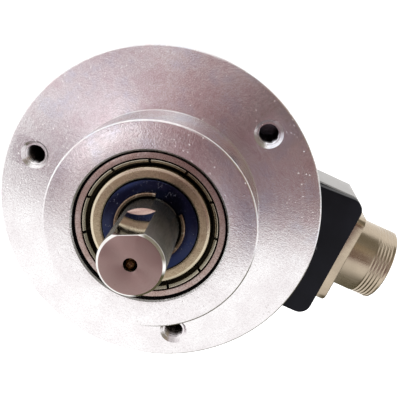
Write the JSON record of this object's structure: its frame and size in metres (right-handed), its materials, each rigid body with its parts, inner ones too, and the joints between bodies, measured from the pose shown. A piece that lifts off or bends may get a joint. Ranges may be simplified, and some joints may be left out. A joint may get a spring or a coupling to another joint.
{
  "type": "rotary encoder",
  "caption": "Clamping-flange rotary encoder with a solid shaft on ball bearings, an optical code disc and a radial round connector on a boss behind the flange.",
  "frame": {"origin": "centre of the flange mounting face, on the shaft axis", "axes": "+Z out along the shaft, +X towards the connector, +Y the third axis"},
  "size_m": [0.0789, 0.058, 0.071],
  "materials": {
    "flange_aluminium": "turned, lightly blasted",
    "shaft_steel": "ground and polished",
    "bearing_steel": "ground",
    "inner_ring_steel": "polished, dark blue tint",
    "shield_zinc": "yellow passivated, satin",
    "retainer_steel": "stamped",
    "spring_steel": "satin",
    "cage_brass": "stamped",
    "hub_aluminium": "turned",
    "screw_steel": "zinc plated",
    "black_steel": "black oxide",
    "clear_glass": "clear",
    "black_plastic": "satin",
    "board_green": "solder resist",
    "chip_black": "moulded",
    "led_plastic": "clear red",
    "cream_plastic": "moulded",
    "cable_film": "flat film",
    "capacitor_can": "satin",
    "seal_rubber": "matt",
    "cover_grey": "light grey, satin paint",
    "connector_nickel": "nickel plated brass, satin",
    "contact_gold": "gold plated"
  },
  "bodies": {
    "housing": {"flange": "flange_aluminium", "front_bearing_outer_ring": "bearing_steel", "front_bearing_shields": "shield_zinc", "front_bearing_shield_rings": "retainer_steel", "rear_bearing_outer_ring": "bearing_steel", "rear_bearing_shields": "shield_zinc", "rear_bearing_shield_rings": "retainer_steel", "wave_spring": "spring_steel", "led_holder": "black_plastic", "led": "led_plastic", "condenser_lens": "clear_glass", "reticle": "clear_glass", "sensor_chip": "chip_black", "scanning_board": "board_green", "signal_chips": "chip_black", "front_standoffs": "cage_brass", "main_board": "board_green", "line_drivers": "chip_black", "capacitors": "capacitor_can", "board_header": "black_plastic", "rear_standoffs": "cage_brass", "board_screws": "screw_steel", "connector_housing": "black_plastic", "housing_o_ring": "seal_rubber", "cover_gasket": "seal_rubber", "rear_cover": "cover_grey", "cover_screws": "screw_steel", "connector_shell": "connector_nickel", "connector_insert": "black_plastic", "connector_pins": "contact_gold", "connector_o_ring": "seal_rubber", "connector_screws": "screw_steel", "connector_board": "board_green", "flat_cable": "cable_film", "cable_socket": "cream_plastic"},
    "rotor": {"shaft": "shaft_steel", "shaft_snap_ring": "spring_steel", "front_bearing_inner_ring": "inner_ring_steel", "rear_bearing_inner_ring": "inner_ring_steel", "shaft_circlip": "black_steel", "disc_hub": "hub_aluminium", "hub_grub_screws": "black_steel", "code_disc": "clear_glass", "disc_clamp_ring": "hub_aluminium"},
    "front_cage": {"front_bearing_balls": "shaft_steel", "front_bearing_cage": "cage_brass"},
    "rear_cage": {"rear_bearing_balls": "shaft_steel", "rear_bearing_cage": "cage_brass"}
  },
  "joints": [
    {"name": "shaft_spin", "type": "hinge", "parent": "housing", "child": "rotor", "pos_m": [0, 0, 0], "axis": [0, 0, 1], "continuous": true},
    {"name": "front_cage_spin", "type": "hinge", "parent": "housing", "child": "front_cage", "pos_m": [0, 0, 0.0052], "axis": [0, 0, 1], "continuous": true},
    {"name": "rear_cage_spin", "type": "hinge", "parent": "housing", "child": "rear_cage", "pos_m": [0, 0, -0.008], "axis": [0, 0, 1], "continuous": true}
  ],
  "couplings": [
    {"joint": "front_cage_spin", "follows": "shaft_spin", "ratio": 0.3677},
    {"joint": "rear_cage_spin", "follows": "shaft_spin", "ratio": 0.3677}
  ]
}
